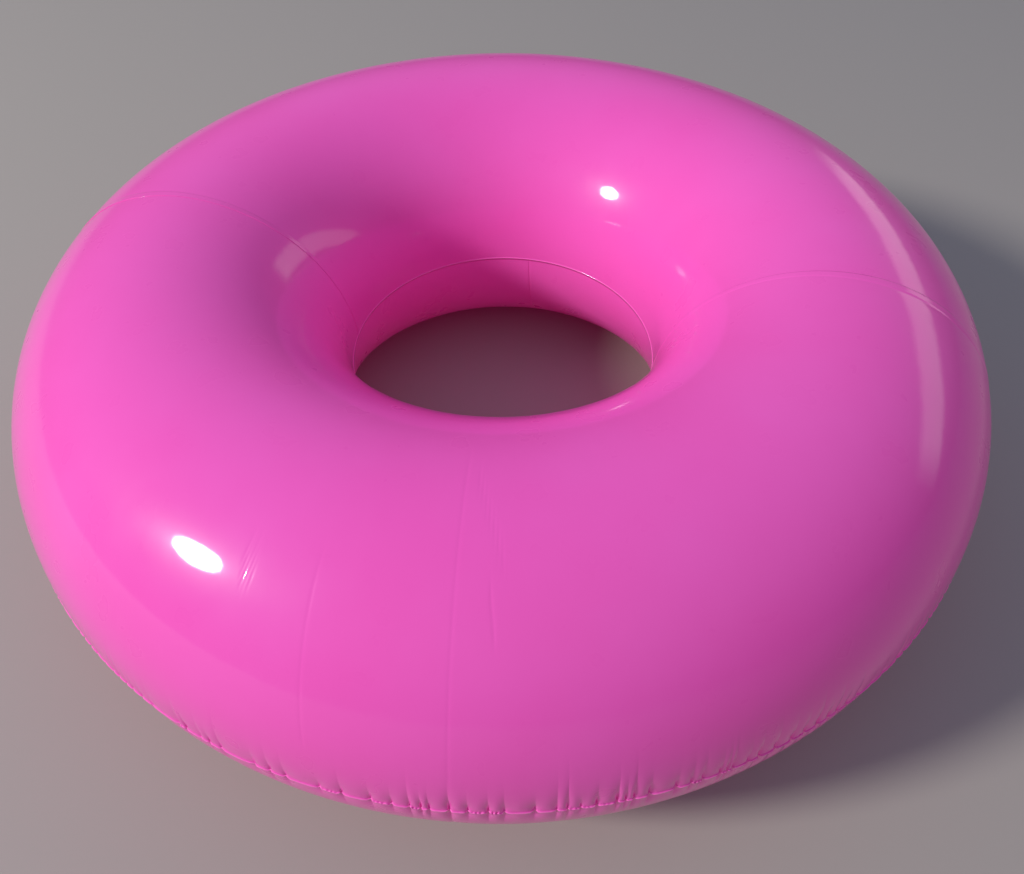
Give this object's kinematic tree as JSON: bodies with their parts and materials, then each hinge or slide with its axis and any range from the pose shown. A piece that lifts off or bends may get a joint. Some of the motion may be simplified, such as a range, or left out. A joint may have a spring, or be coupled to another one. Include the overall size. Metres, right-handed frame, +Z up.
{
  "type": "inflatable ring float",
  "caption": "Very large inflated vinyl ring with welded mid-height seams, lapped film panels and a screwed two-stage air valve on its rear outer side.",
  "frame": {"origin": "centre of the ring on the surface that it stands on", "axes": "+Z up along the ring's axis; +Y towards the side with the air valve, so -Y is the front; +X to the right seen from the front"},
  "size_m": [1.962, 1.9619, 0.6501],
  "materials": {
    "vinyl_film": "gloss",
    "valve_vinyl": "satin",
    "soft_tether": "satin",
    "silicone": "matte"
  },
  "bodies": {
    "ring": {"upper_panel_front": "vinyl_film", "upper_panel_rear": "vinyl_film", "lower_panel_left": "vinyl_film", "lower_panel_right": "vinyl_film", "valve_patch": "vinyl_film", "valve_base": "valve_vinyl"},
    "insert_tether": {"insert_tether": "soft_tether"},
    "valve_insert": {"valve_insert": "valve_vinyl", "check_seat": "vinyl_film", "insert_gasket": "silicone"},
    "check_diaphragm": {"check_diaphragm": "silicone"},
    "cap_tether": {"cap_tether": "soft_tether"},
    "valve_cap": {"valve_cap": "valve_vinyl", "cap_seal": "silicone"}
  },
  "joints": [
    {"name": "insert_lift", "type": "slide", "parent": "ring", "child": "insert_tether", "axis": [0, 0.8829, 0.4695], "range_m": [0, 0.008]},
    {"name": "insert_turn", "type": "hinge", "parent": "insert_tether", "child": "valve_insert", "pos_m": [0, 0.93696, 0.47696], "axis": [0, 0.8829, 0.4695], "range_deg": [0, 720]},
    {"name": "diaphragm_lift", "type": "slide", "parent": "valve_insert", "child": "check_diaphragm", "axis": [0, -0.8829, -0.4695], "range_m": [0, 0.002], "stiffness_N_per_m": 40},
    {"name": "cap_lift", "type": "slide", "parent": "valve_insert", "child": "cap_tether", "axis": [0, 0.8829, 0.4695], "range_m": [0, 0.0052]},
    {"name": "cap_turn", "type": "hinge", "parent": "cap_tether", "child": "valve_cap", "pos_m": [0, 0.93696, 0.47696], "axis": [0, 0.8829, 0.4695], "range_deg": [0, 720]}
  ],
  "couplings": [
    {"joint": "insert_lift", "follows": "insert_turn", "m_per_rad": 0.00063662},
    {"joint": "cap_lift", "follows": "cap_turn", "m_per_rad": 0.0004138}
  ]
}
